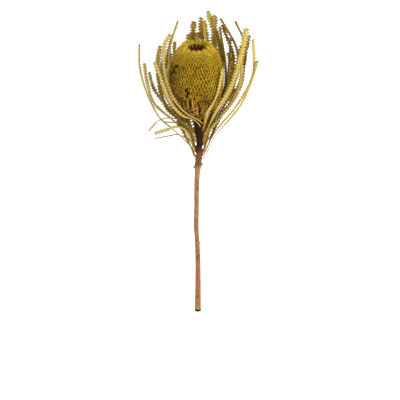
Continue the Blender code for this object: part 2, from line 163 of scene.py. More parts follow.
def strandTubes(centres, outwards, widths, depths, sides=5):
    # closed tubes along many lines at once: points, faces, strand number and share along
    count, steps = centres.shape[:2]
    ahead = unit(np.gradient(centres, axis=1))
    across = unit(np.cross(ahead, outwards))
    lift = np.cross(across, ahead)
    turns = np.linspace(0, math.tau, sides, endpoint=False) + math.pi / 4
    rings = (
        centres[:, :, None]
        + across[:, :, None] * (np.cos(turns)[:, None] * widths[:, :, None, None])
        + lift[:, :, None] * (np.sin(turns)[:, None] * depths[:, :, None, None])
    )
    index = np.arange(count * steps * sides).reshape(count, steps, sides)
    after = np.roll(index, -1, axis=2)
    faces = quads(index[:, :-1], index[:, 1:], after[:, 1:], after[:, :-1])
    faces += index[:, 0].tolist() + index[:, -1, ::-1].tolist()
    number = np.repeat(np.arange(count), steps * sides)
    share = np.tile(np.repeat(np.linspace(0, 1, steps), sides), count)
    return rings.reshape(-1, 3), faces, number, share


def bundled(bundles, each):
    # the place of each strand in its bundle, counted from the bundle's middle
    return np.tile(np.arange(each), bundles) - (each - 1) / 2


def tapered(dice, plan, count, along):
    # a random half width for each strand of a plan, times its profile along them
    return dice.uniform(*plan["halfWidths"], count)[:, None] * np.interp(along, *plan["widths"])


# Materials

class Shade:
    # a value or colour in a node tree, which adds and multiplies like a number
    def __init__(self, tree, socket):
        self.tree, self.socket = tree, socket

    def worked(self, operation, other=0.0):
        return addNode(self.tree, "ShaderNodeMath", {0: self, 1: other}, operation=operation)

    def __add__(self, other):
        return self.worked("ADD", other)

    def __sub__(self, other):
        return self.worked("SUBTRACT", other)

    def __mul__(self, other):
        return self.worked("MULTIPLY", other)

    def outputs(self):
        return [Shade(self.tree, socket) for socket in self.socket.node.outputs]


def feed(tree, socket, value):
    if isinstance(value, Shade):
        tree.links.new(value.socket, socket)
    elif socket.type == "RGBA" and len(value) == 3:
        socket.default_value = (*value, 1)
    else:
        socket.default_value = value


def addNode(tree, kind, inputs=(), output=0, **settings):
    node = tree.nodes.new(kind)
    for setting, value in settings.items():
        setattr(node, setting, value)
    for socket, value in dict(inputs).items():
        feed(tree, node.inputs[socket], value)
    return Shade(tree, node.outputs[output])


def blended(share, first, second):
    return addNode(share.tree, "ShaderNodeMix", {0: share, 6: first, 7: second}, 2, data_type="RGBA")


def layered(colour, *layers):
    # tints laid over a colour one after another, each by its mask
    for mask, tint in layers:
        colour = blended(mask, colour, tint)
    return colour


def stepped(value, low, high, start=0.0, end=1.0):
    inputs = {0: value, 1: low, 2: high, 3: start, 4: end}
    return addNode(value.tree, "ShaderNodeMapRange", inputs, interpolation_type="SMOOTHSTEP")


def readMap(tree, mapName):
    uv = addNode(tree, "ShaderNodeUVMap", uv_map=mapName)
    return addNode(tree, "ShaderNodeSeparateXYZ", {0: uv}).outputs()[:2]


def placed(x, y, z=0.0):
    return addNode(x.tree, "ShaderNodeCombineXYZ", {0: x, 1: y, 2: z})


def ownShade(seed, scale):
    # a random value from 0 to 1 for each strand
    return addNode(seed.tree, "ShaderNodeTexWhiteNoise", {"W": seed * scale}, noise_dimensions="1D")


def makeDryMottle():
    # two sizes of blotch, stretched along the grain
    group = bpy.data.node_groups.new("dryMottle", "ShaderNodeTree")
    for name, way, kind in (
        ("Place", "INPUT", "Vector"), ("Scale", "INPUT", "Float"), ("Stretch", "INPUT", "Float"),
        ("Broad", "OUTPUT", "Float"), ("Fine", "OUTPUT", "Float"),
    ):
        group.interface.new_socket(name=name, in_out=way, socket_type="NodeSocket" + kind)
    place, scale, stretch = (Shade(group, socket) for socket in group.nodes.new("NodeGroupInput").outputs[:3])
    shape = addNode(group, "ShaderNodeCombineXYZ", {0: 1.0, 1: stretch, 2: 1.0})
    place = addNode(group, "ShaderNodeVectorMath", {0: place, 1: shape}, operation="MULTIPLY")
    broad = addNode(group, "ShaderNodeTexNoise", {"Vector": place, "Scale": scale, "Detail": 3.0})
    fineInputs = {"Vector": place, "Scale": scale * 4.3, "Detail": 5.0, "Roughness": 0.65}
    fine = addNode(group, "ShaderNodeTexNoise", fineInputs)
    wanted = group.nodes.new("NodeGroupOutput").inputs
    feed(group, wanted["Broad"], stepped(broad, 0.3, 0.7))
    feed(group, wanted["Fine"], stepped(fine, 0.28, 0.72))
    return group


dryMottle = makeDryMottle()


def mottled(place, scale, stretch=1.0):
    inputs = {"Place": place, "Scale": scale, "Stretch": stretch}
    return addNode(place.tree, "ShaderNodeGroup", inputs, node_tree=dryMottle).outputs()


def startMaterial(name, specular):
    material = bpy.data.materials.new(name)
    material.use_nodes = True
    shader = material.node_tree.nodes["Principled BSDF"]
    shader.inputs["Specular IOR Level"].default_value = specular
    return material, material.node_tree


def finishMaterial(material, colour, roughness, height, distance):
    tree = material.node_tree
    shader = tree.nodes["Principled BSDF"]
    bump = addNode(tree, "ShaderNodeBump", {"Strength": 1.0, "Distance": distance, "Height": height})
    for socket, value in (("Base Color", colour), ("Roughness", roughness), ("Normal", bump)):
        feed(tree, shader.inputs[socket], value)
    return material


# Head

head = {
    "foot": 55.0, "length": 92.5, "radius": 32.0, "frontDip": 3.5,
    "coreSink": 3.3, "coreRows": 90, "coreAround": 120, "coreRough": 0.5,
    "outline": (
        (0.0, 0.24), (0.025, 0.36), (0.085, 0.54), (0.175, 0.74), (0.31, 0.9),
        (0.44, 0.985), (0.565, 1.0), (0.69, 0.97), (0.805, 0.895), (0.893, 0.785),
        (0.96, 0.62), (1.0, 0.46), (0.975, 0.33), (0.93, 0.26), (0.865, 0.2),
    ),
}
outline = smoothProfile([
    (radius * head["radius"], head["foot"] + height * head["length"]) for height, radius in head["outline"]
], 120)
outlineSlope = unit(np.gradient(outline, axis=0))
outlineLength = lengthOf(outline)
rimArc = outline[:, 1].argmax() / (len(outline) - 1) * outlineLength


def onHead(arc, turn, sink):
    # points of the head at a distance up its outline, and the outward directions there
    place = np.clip(arc / outlineLength, 0, 1) * (len(outline) - 1)
    steps = np.arange(len(outline))
    radius, height = (np.interp(place, steps, outline[:, k]) for k in (0, 1))
    slope = [np.interp(place, steps, outlineSlope[:, k]) for k in (0, 1)]
    outR, outH = slope[1], -slope[0]
    return aroundAxis(radius - outR * sink, turn, height - outH * sink), aroundAxis(outR, turn, outH)


def headRadius(arc):
    return -onHead(arc, 0.0, 0.0)[0][..., 1]


def arcAtHeight(height):
    climb = outline[:outline[:, 1].argmax() + 1, 1]
    return np.interp(height, climb, np.linspace(0, rimArc, len(climb)))


def frontness(turns):
    return np.clip(np.cos(turns), 0, 1) ** 1.5


def nearDip(arcs, turns):
    # the rim is a little lower at the front
    return head["frontDip"] * ease(rimArc - 10, rimArc - 1, arcs) * frontness(turns)


def whereMap(points):
    # height up the head and azimuth, both from 0 to 1, for the colours
    height = (points[:, 2] - head["foot"]) / head["length"]
    azimuth = np.arctan2(points[:, 0], -points[:, 1]) / math.tau + 0.5
    return np.stack((height, azimuth), axis=1)


def floretMaterial():
    material, tree = startMaterial("floretGold", 0.08)
    seed, share = readMap(tree, "strand")
    height, azimuth = readMap(tree, "where")
    place = placed(azimuth, height)
    broad, fine = mottled(place, 14.0)
    fibre, grain = mottled(place, 190.0, 0.2)
    own = ownShade(seed, 97.0)
    # where painted shade falls on the head's left flank
    leftFlankShade = stepped(azimuth, 0.43, 0.3) * stepped(height, 0.88, 0.66) * stepped(azimuth, 0.12, 0.2)
    colour = layered(
        blended(own, (0.12, 0.036, 0.01), (0.78, 0.44, 0.035)),
        (stepped(height, 0.12, 0.5), blended(own, (0.32, 0.19, 0.01), (0.81, 0.53, 0.024))),
        (stepped(height, 0.84, 0.98), blended(own, (0.48, 0.29, 0.02), (1.0, 0.74, 0.07))),
        # painted shade on the left flank, darker and in patches
        (leftFlankShade * 0.72, (0.17, 0.095, 0.014)),
        (leftFlankShade * stepped(broad, 0.35, 0.6) * 0.8, (0.035, 0.022, 0.006)),
        (broad * 0.3, (0.24, 0.13, 0.012)),
        (fibre * 0.45, (0.16, 0.085, 0.012)),
        # painted shade at its root, deep in the head; paler at its tip, partly its own colour and partly a
        # painted highlight
        (stepped(share, 0.34, 0.08), (0.085, 0.04, 0.01)),
        (stepped(share, 0.78, 1.0) * 0.35, (0.78, 0.5, 0.07)),
    )
    return finishMaterial(material, colour, stepped(fine, 0.0, 1.0, 0.7, 0.95), fibre + grain * 0.5, 0.0002)


def coreMaterial():
    material, tree = startMaterial("headCoreBrown", 0.1)
    height, azimuth = readMap(tree, "where")
    broad, fine = mottled(placed(azimuth, height), 30.0)
    colour = layered(
        blended(broad, (0.06, 0.028, 0.008), (0.12, 0.06, 0.01)),
        # painted shade: near black low down, in the deep gaps at the foot; maroon round the pit
        (stepped(height, 0.36, 0.2), (0.03, 0.01, 0.004)), (stepped(height, 0.86, 0.94), (0.17, 0.045, 0.02)),
    )
    return finishMaterial(material, colour, 0.9, fine, 0.0006)


def curlMaterial():
    material, tree = startMaterial("dryCurlOrange", 0.12)
    seed, _ = readMap(tree, "strand")
    height, azimuth = readMap(tree, "where")
    broad, fine = mottled(placed(azimuth, height, seed), 40.0)
    colour = blended(stepped(ownShade(seed, 83.0), 0.35, 0.75), (0.16, 0.05, 0.01), (0.88, 0.51, 0.088))
    colour = blended(broad * 0.4, colour, (0.3, 0.13, 0.02))
    return finishMaterial(material, colour, stepped(fine, 0.0, 1.0, 0.5, 0.75), fine, 0.0002)


floretGold = floretMaterial()
headCoreBrown = coreMaterial()


def makeHeadPiece(name, points, faces, material, maps=()):
    maps = [*maps, ("where", whereMap(points))]
    makePiece(name, points, faces, [material], maps, standsFor=["flower_head"])


def makeStrands(name, centres, outwards, widths, flatness, material, seeds, shadeAlong):
    # one piece of the head made of strands, with a seed for each and a shade along it
    points, faces, number, share = strandTubes(centres, outwards, widths, widths * flatness)
    strand = np.stack((seeds[number], shadeAlong(share, number)), axis=1)
    makeHeadPiece(name, points, faces, material, [("strand", strand)])


def makeHeadCore():
    arcs, turns = np.meshgrid(
        np.linspace(0, outlineLength, head["coreRows"]),
        np.linspace(0, math.tau, head["coreAround"], endpoint=False), indexing="ij",
    )
    points, outwards = onHead(arcs, turns, head["coreSink"] * np.minimum(1, 0.15 + arcs / 9))
    points = points + outwards * (head["coreRough"] * wobble(points, 0.45))[..., None]
    points[..., 2] -= nearDip(arcs, turns) * ease(rimArc + 9, rimArc + 3, arcs)
    index = np.arange(arcs.size).reshape(arcs.shape)
    faces = ringQuads(index) + [index[0, ::-1].tolist(), index[-1].tolist()]
    makeHeadPiece("headCore", points.reshape(-1, 3), faces, headCoreBrown)


floret = {
    "columns": 52, "steps": 7, "reach": 1.36, "lean": 0.36, "slant": 0.07, "halfWidth": 0.42,
    "twinGap": 0.36, "fillerShift": 0.25, "lift": 0.2, "brokenDepth": 1.7,
    "sparse": (42, 29), "dull": (54, 34),  # distances up the outline, the lower is the worse
    # where the first row starts, how far apart the rows are from the foot to the rim, and
    # the last row, which leans over the rim
    "firstArc": 5.0, "pitches": ((0, 0.55, 1), (4.8, 4.4, 3.3)), "lastRow": (1.4, 3.4),
    # along a floret: how deep it lies, how wide it is and how far it is from its twin
    "sinks": ((0, 0.16, 0.45, 0.8, 1), (2.9, 1.15, 0.62, 0.32, 0.8)),
    "widths": ((0, 0.35, 0.75, 0.92, 1), (0.75, 0.95, 1.05, 0.85, 0.3)),
    "twins": ((0, 0.3, 0.9, 1), (0.6, 1, 1, 0.7)),
    # places where florets have broken off short, sunk and painted dark for the shade in the holes: height,
    # azimuth, size
    "broken": (
        (98.0, -19.0, 2.5), (90.5, -20.0, 2.4), (97.5, 7.0, 1.8), (119.0, -60.0, 3.0), (126.0, -52.0, 2.6),
        (112.0, -68.0, 2.6), (104.0, 150.0, 2.6), (92.0, -110.0, 2.4), (118.0, 95.0, 2.4),
    ),
}


def floretRows():
    rows, arc = [], floret["firstArc"]
    while arc < rimArc + 0.5:
        pitch = float(np.interp(arc / rimArc, *floret["pitches"]))
        rows.append((arc, pitch))
        arc += pitch
    pastRim, pitch = floret["lastRow"]
    return rows + [(rimArc + pastRim, pitch)]


def brokenShare(arc, turns):
    broken = np.zeros(len(turns))
    for height, azimuth, size in floret["broken"]:
        gap = (turns - math.radians(azimuth) + math.pi) % math.tau - math.pi
        distance = np.hypot(arc - arcAtHeight(height), gap * 30)
        broken = np.maximum(broken, ease(size + 1.2, size, distance))
    return broken


def makeFlorets(name, rows, firstRow, seed):
    # pairs of thin florets that lean left and right and meet in a net
    dice = np.random.default_rng(seed)
    columns, slant, fillerShift = (floret[key] for key in ("columns", "slant", "fillerShift"))
    step = math.tau / columns
    along = np.linspace(0, 1, floret["steps"])
    lines, outs, widths, holeShadeAndDull = [], [], [], []
    for row, (arc, pitch) in enumerate(rows, firstRow):
        turns = (np.arange(columns) + 0.5 * (row % 2)) * step + dice.normal(0, 0.05, columns) * step
        high, low = ease(0.7, 1.0, arc / rimArc), ease(0.5, 0.2, arc / rimArc)
        around = float(headRadius(np.array(arc)) / head["radius"])
        broken = brokenShare(arc + 0.5 * pitch, turns)
        for side, twin in ((-1, -1), (-1, 1), (1, -1), (1, 1), (0, -1), (0, 1)):
            filler = side == 0  # a third pair, which fills the gap toward the top
            if filler and high < 0.12:
                continue
            lean = side * (floret["lean"] - 0.2 * low - 0.05 * high)
            lean = lean + dice.normal(0, 0.04 + 0.06 * low, columns)
            reach = pitch * (floret["reach"] + 0.4 * low + dice.normal(0, 0.09, columns))
            start = arc + dice.normal(0, 0.06 + 0.12 * low, columns) * pitch - fillerShift * pitch * filler
            arcs = start[:, None] + reach[:, None] * along
            apart = twin * floret["twinGap"] / (head["radius"] * around) * dice.uniform(0.75, 1.15, columns)
            leaning = (lean[:, None] - slant * side) * ease(0.02, 0.7, along)
            places = turns[:, None] + step * (slant * side + leaning)
            places = places + apart[:, None] * np.interp(along, *floret["twins"])
            proud = dice.normal(0, 0.16 + 0.26 * low, columns)[:, None] * ease(0.3, 1, along)
            sinks = np.interp(along, *floret["sinks"]) - proud + floret["lift"] + fillerShift * filler
            sinks = sinks + nearDip(arcs, places) + floret["brokenDepth"] * broken[:, None]
            points, outward = onHead(arcs, places, sinks)
            size = floret["halfWidth"] * np.clip(around, 0.5, 1) ** 0.8 * dice.uniform(0.8, 1.15, columns)
            width = (size * (1 - 0.1 * low))[:, None] * np.interp(along, *floret["widths"])
            keep = dice.random(columns) > 0.02 + 0.3 * low + 0.5 * ease(*floret["sparse"], arc)
            if filler:
                keep &= dice.random(columns) < high
            lines.append(points[keep])
            outs.append(outward[keep])
            widths.append(width[keep])
            # painted shade in the broken places, and darker low down on the head
            holeShadeAndDull.append((1 - 0.93 * broken[keep]) * (1 - 0.5 * ease(*floret["dull"], arc)))
    centres, outwards, widths, holeShadeAndDull = (np.concatenate(group) for group in (lines, outs, widths, holeShadeAndDull))
    makeStrands(
        name, centres, outwards, widths, 0.95, floretGold, dice.random(len(centres)),
        lambda share, number: share * holeShadeAndDull[number],
    )


pitTufts = {
    "count": 15, "each": 4, "steps": 12, "dip": 3.8, "halfWidths": (0.4, 0.5),
    # the way over the rim and down into the pit, as radius and height
    "way": (
        (19.6, 143.4), (17.2, 146.4), (14.8, 147.9), (12.8, 147.8), (11.5, 146.2), (10.9, 143.6),
        (10.5, 140.8), (10.1, 137.6),
    ),
    "fan": ((0, 0.35, 0.6, 1), (0.95, 0.78, 0.45, 0.32)),
    "widths": ((0, 0.15, 0.8, 1), (0.7, 1.1, 0.9, 0.5)),
}


def makePitTufts():
    # tufts that hang over the rim into the pit, with dark slots between them
    dice = np.random.default_rng(21)
    tufts, each = pitTufts["count"], pitTufts["each"]
    count = tufts * each
    along = np.linspace(0, 1, pitTufts["steps"])[None] * dice.uniform(0.8, 1, count)[:, None]
    way = smoothProfile(pitTufts["way"], 40)
    radius, height = (np.interp(along, np.linspace(0, 1, len(way)), way[:, k]) for k in (0, 1))
    middles = (np.arange(tufts) + 0.5 + dice.normal(0, 0.1, tufts)) / tufts * math.tau
    fan = bundled(tufts, each) * dice.uniform(0.85, 1.05, count)
    places = np.repeat(middles, each)[:, None] + fan[:, None] * np.interp(along, *pitTufts["fan"]) / radius
    places = places + dice.normal(0, 0.04, count)[:, None] * along
    height = height - pitTufts["dip"] * frontness(places) * ease(-0.1, 0.25, along)
    height = height + dice.normal(0, 0.25, count)[:, None] * ease(0, 0.3, along)
    radius = radius + dice.normal(0, 0.2, count)[:, None]
    centres = aroundAxis(radius, places, height)
    outwards = unit(aroundAxis(np.gradient(height, axis=1), places, -np.gradient(radius, axis=1)))
    widths = tapered(dice, pitTufts, count, along)
    makeStrands(
        "pitTufts", centres, outwards, widths, 0.95, floretGold, dice.random(count),
        # painted shade: darker the deeper they hang into the pit
        lambda share, number: 0.85 - 0.66 * ease(0.5, 1.0, share),
    )


pitBristles = {
    "count": 700, "onWall": 520, "steps": 4, "sunk": 0.2, "floorRadius": 9.0,
    "lengths": (1.2, 2.6), "halfWidths": (0.3, 0.5), "widths": ((0, 0.7, 1), (0.8, 1, 0.5)),
}


def makePitBristles():
    # short brown stumps that line the wall and the floor of the pit
    dice = np.random.default_rng(22)
    count, sunk = pitBristles["count"], pitBristles["sunk"]
    along = np.linspace(0, 1, pitBristles["steps"])
    arcs = rimArc + dice.uniform(-0.5, outlineLength - rimArc, count)
    turns = dice.uniform(0, math.tau, count)
    onWall = (np.arange(count) < pitBristles["onWall"])[:, None]
    feet, outwards = onHead(arcs, turns, head["coreSink"] + sunk)
    # the others stand on the floor
    floorHeight = onHead(np.array(outlineLength), 0.0, head["coreSink"])[0][2]
    floorRadius = pitBristles["floorRadius"] * np.sqrt(dice.random(count))
    feet = np.where(onWall, feet, aroundAxis(floorRadius, turns, floorHeight - sunk))
    outwards = np.where(onWall, outwards, (0, 0, 1.0))
    ways = unit(outwards + (0, 0, 0.5) + dice.normal(0, 0.28, (count, 3)))
    length = dice.uniform(*pitBristles["lengths"], count)
    centres = feet[:, None] + ways[:, None] * (length[:, None] * along)[..., None]
    sideways = np.broadcast_to(unit(np.cross(ways, (0.3, 0.5, 0.1)))[:, None], centres.shape)
    widths = tapered(dice, pitBristles, count, along)
    points, faces, _, _ = strandTubes(centres, sideways, widths, widths)
    makeHeadPiece("pitBristles", points, faces, headCoreBrown)


footStrands = {
    "steps": 9, "halfWidths": (0.38, 0.64),
    # rings: where it starts, its length, its bundles, the strands in each, its turn, its waver, its depth
    "rings": (
        (0.4, 11.0, 18, 2, 0.0, 0.0, 0.0), (3.0, 13.0, 20, 2, 0.5, 0.0, 0.4),
        (9.0, 14.0, 33, 2, 0.25, 0.4, 0.2), (20.5, 17.0, 33, 3, 0.25, 0.4, 0.0),
    ),
    "sinks": ((0, 0.15, 0.5, 0.85, 1), (1.6, 0.7, 0.2, 0.1, 0.7)),
    "widths": ((0, 0.5, 0.9, 1), (0.7, 0.9, 1.1, 0.5)),
}


def makeFootStrands():
    # the long thin florets seen side-on at the head's foot
    dice = np.random.default_rng(31)
    along = np.linspace(0, 1, footStrands["steps"])
    groups = []
    for ring, (first, length, bundles, each, shift, waver, depth) in enumerate(footStrands["rings"]):
        count = bundles * each
        order = np.arange(bundles)
        middles = (order + shift) / bundles * math.tau + waver * np.sin(order * 2.4) / bundles
        apart = bundled(bundles, each) * 0.75 / (12 + 5 * ring)
        lengths = dice.uniform(0.7, 1.2, count)[:, None] * length
        arcs = first + dice.uniform(-0.4, 2.0, count)[:, None] + lengths * along
        drift = np.repeat(dice.normal(0, 0.05, bundles), each) + dice.normal(0, 0.012, count)
        places = (np.repeat(middles, each) + apart)[:, None] + drift[:, None] * along
        sinks = np.interp(along, *footStrands["sinks"]) - dice.normal(0, 0.35, count)[:, None] * along + depth
        widths = tapered(dice, footStrands, count, along)
        groups.append((*onHead(arcs, places, sinks), widths, dice.random(count)))
    centres, outwards, widths, seeds = (np.concatenate(group) for group in zip(*groups))
    makeStrands(
        "footStrands", centres, outwards, widths, 1.0, floretGold, seeds,
        # painted shade, a little, at their roots
        lambda share, number: 0.3 + 0.6 * share,
    )


footCurls = {
    "count": 84, "steps": 9, "lengths": (2.6, 8.0), "curl": 0.7, "halfWidths": (0.28, 0.6),
    "longOne": (12.5, 79.5, -19, 0.03),  # its length, height, azimuth and way
    "widths": ((0, 0.2, 0.8, 1), (0.5, 1, 1, 0.4)),
}
dryCurlOrange = curlMaterial()


def makeFootCurls():
    # dry curled bits caught low down on the head, half of them at the front
    dice = np.random.default_rng(51)
    count = footCurls["count"]
    along = np.linspace(0, 1, footCurls["steps"])
    front = dice.random(count) < 0.5
    azimuths = np.where(front, dice.normal(-6, 12, count), dice.uniform(0, 360, count))
    heights = np.where(front, dice.normal(74, 5, count), dice.uniform(60, 84, count))
    length = dice.uniform(*footCurls["lengths"], count)
    way = np.where(dice.random(count) < 0.35, dice.uniform(-0.4, 0.4, count), dice.uniform(0.7, 2.4, count))
    # the first is long and lies across
    length[0], heights[0], azimuths[0], way[0] = footCurls["longOne"]
    curl = dice.normal(0, footCurls["curl"], count) * (np.arange(count) > 0)
    heading = way[:, None] + curl[:, None] * along
    pace = length[:, None] / footCurls["steps"]
    arcs = arcAtHeight(heights)[:, None] + np.cumsum(np.sin(heading) * pace, axis=1)
    sideways = np.cumsum(np.cos(heading) * pace, axis=1)
    places = np.radians(azimuths)[:, None] + sideways / headRadius(arcs)
    lift = dice.uniform(0.2, 1.1, count)[:, None] * np.sin(math.pi * (0.12 + 0.8 * along)) - 0.3
    centres, outwards = onHead(arcs, places, -lift)
    widths = tapered(dice, footCurls, count, along)
    makeStrands(
        "footCurls", centres, outwards, widths, 0.6, dryCurlOrange, dice.random(count),
        lambda share, number: share,
    )


def makeHead():
    makeHeadCore()
    rows = floretRows()
    third = len(rows) // 3
    makeFlorets("floretsLow", rows[:third], 0, 11)
    makeFlorets("floretsMiddle", rows[third:2 * third], third, 12)
    makeFlorets("floretsHigh", rows[2 * third:], 2 * third, 13)
    makePitTufts()
    makePitBristles()
    makeFootStrands()
    makeFootCurls()
    print("head made with", len(rows), "rows of florets")


makeHead()

# Stem

stem = {
    # height, off to the side, off to the front, radius
    "route": (
        (-191.0, 1.6, 13.1, 3.8), (-186.0, 1.6, 12.2, 3.6), (-150.0, 1.8, 7.6, 3.2),
        (-122.0, 1.5, 4.9, 3.0), (-97.0, 0.5, 3.2, 2.8), (-84.0, -0.4, 2.5, 2.7),
        (-60.0, 0.0, 0.9, 2.6), (-35.0, 0.2, 0.4, 2.7), (-14.0, 0.9, 0.1, 3.0),
        (-7.0, 1.6, 0.0, 3.9), (-3.0, 2.0, 0.0, 4.2), (2.0, 2.4, 0.0, 3.7),
        (10.0, 3.0, 0.0, 3.2), (30.0, 3.4, 0.0, 3.4), (44.0, 2.8, 0.0, 3.9),
        (55.0, 1.5, 0.0, 6.6),
    ),
    # stubs of shed leaves: height, azimuth, length, radius
    "stubs": (
        (-7.0, -80.0, 3.4, 1.1), (-4.0, 95.0, 2.6, 1.2), (-5.5, 10.0, 2.2, 1.2), (-2.5, -150.0, 2.4, 1.1),
    ),
    # knots and scars: height, azimuth, radius, how far they stand out
    "knots": (
        (-121.5, 14.0, 2.0, 0.5), (-125.5, -12.0, 1.5, -0.3), (-128.0, 22.0, 1.2, 0.35),
        (-158.0, 48.0, 1.4, 0.3), (-62.0, -28.0, 1.3, 0.3), (-33.0, 34.0, 1.6, 0.35),
        (-90.0, 150.0, 1.8, 0.45), (-142.0, -150.0, 1.6, 0.4), (-47.0, -120.0, 1.5, 0.4),
        (-105.0, 80.0, 1.4, 0.35), (-172.0, -20.0, 1.3, 0.25), (-20.0, 170.0, 1.6, 0.4),
    ),
    # rings of the cut end: share of the radius, how deep it is dished
    "cut": ((0.97, -0.25), (0.9, 0.3), (0.72, 0.42), (0.45, 0.3), (0.2, 0.15)),
    "rings": 320, "around": 44, "mapLength": 40, "ridge": 0.16, "wart": 0.2,
    "swelling": 0.3, "knottiness": 0.34, "scar": 0.3,
}
stemHeights, stemSides, stemFronts, stemRadii = (np.array(column) for column in zip(*stem["route"]))


def stemRadius(height):
    return np.interp(height, stemHeights, stemRadii)


def stemDrift(heights):
    # how far the stem, or what stands on it, is off the flower's axis
    known = np.append(stemHeights, head["foot"] + 4)
    sideways = np.interp(heights, known, np.append(stemSides, 0))
    backward = np.interp(heights, known, np.append(-stemFronts, 0))
    return np.stack((sideways, backward, np.zeros_like(sideways)), axis=-1)


def onStem(height, azimuth):
    return np.array(spot(height, float(stemRadius(height)), azimuth)) + stemDrift(height)


def barkMaterial():
    material, tree = startMaterial("stemBark", 0.16)
    around, height = readMap(tree, "bark")
    place = placed(around, height)
    broad, fine = mottled(place, 7.0, 0.55)
    streak, grit = mottled(place, 26.0, 0.12)
    wart = addNode(tree, "ShaderNodeTexVoronoi", {"Vector": place, "Scale": 16.0}, feature="F1")
    nodeBrown = blended(fine, (0.045, 0.02, 0.01), (0.37, 0.165, 0.052))
    neckDark = blended(stepped(fine, 0.45, 0.9), (0.006, 0.004, 0.002), (0.085, 0.033, 0.011))
    nearCutEnd = height + fine * 0.03
    colour = layered(
        blended(streak, (0.36, 0.13, 0.045), (0.66, 0.31, 0.11)),
        # tan and olive toward the flower, redder toward the cut end
        (stepped(height + broad, -2.4, -0.6) * 0.7, blended(streak, (0.36, 0.21, 0.075), (0.56, 0.39, 0.16))),
        (stepped(broad, 0.62, 0.3) * stepped(fine, 0.25, 0.6) * 0.65, (0.25, 0.095, 0.04)),
        (stepped(grit, 0.6, 0.82) * 0.6, (0.13, 0.05, 0.02)),
        (readMap(tree, "knots")[0] * 0.75, (0.14, 0.07, 0.02)),
        (stepped(wart, 0.2, 0.08) * 0.5, (0.66, 0.4, 0.2)),
        # purple-brown and scarred at the node, near black up the neck
        (stepped(height + broad * 0.06, -0.14, -0.03) * 0.9, nodeBrown),
        (stepped(height + fine * 0.12, 0.3, 0.58) * 0.97, neckDark),
        # a yellow-green band near the cut end, and painted shade below it: near black at the very end, where
        # the cut end lies in shade
        (stepped(nearCutEnd, -4.62, -4.67) * 0.8, (0.42, 0.36, 0.05)),
        (stepped(nearCutEnd, -4.685, -4.71), (0.018, 0.018, 0.004)),
    )
    return finishMaterial(material, colour, stepped(fine, 0.0, 1.0, 0.55, 0.8), streak + fine * 0.7, 0.0003)


def cutMaterial():
    material, tree = startMaterial("cutWood", 0.25)
    out, around = readMap(tree, "bark")
    place = placed(out, around)
    broad, fine = mottled(place, 9.0)
    rings = addNode(tree, "ShaderNodeTexWave", {"Vector": place, "Scale": 3.2, "Distortion": 1.5}, 1)
    colour = layered(
        blended(rings, (0.2, 0.13, 0.05), (0.36, 0.26, 0.11)), (stepped(out, 0.16, 0.06), (0.12, 0.07, 0.03)),
        (stepped(out, 0.78, 0.92), (0.05, 0.035, 0.015)), (broad * 0.4, (0.14, 0.1, 0.03)),
    )
    return finishMaterial(material, colour, 0.8, fine, 0.0004)


stemBark = barkMaterial()
cutWood = cutMaterial()


def barkRelief(grid, line):
    # how far each point of the bark stands out, and where its knots are
    heights = grid[..., 2]
    ridge = stem["ridge"]
    relief = ridge * wobble(grid * (1, 1, 0.16), 1.6, 3.0) + 0.6 * ridge * wobble(grid, 0.9, 9.0)
    warts = stem["wart"] * ease(0.35, 0.6, wobble(grid, 0.42, 5.0))
    # rough, knotty bark round the node and up the neck
    knotty = ease(-12, -6, heights) * stem["knottiness"] * wobble(grid * (1, 1, 0.8), 0.75, 7.0)
    wave = np.sin(heights * 2.3 + 2 * wobble(grid, 0.3, 2.0))
    scars = ease(-11, -8, heights) * ease(4, 0, heights) * stem["scar"] * wave
    knots, stood = np.zeros(heights.shape), np.zeros(heights.shape)
    for height, azimuth, radius, stand in stem["knots"]:
        distance = np.linalg.norm((grid - onStem(height, azimuth)) * (1, 1, 0.8), axis=-1)
        near = ease(radius * 1.4, radius * 0.2, distance)
        knots, stood = np.maximum(knots, near), stood + stand * near
    swollen = stem["swelling"] * ease(-108, -80, line[:, 2]) * ease(-8, -22, line[:, 2])
    return relief + warts + knotty + scars + stood + swollen[:, None], knots


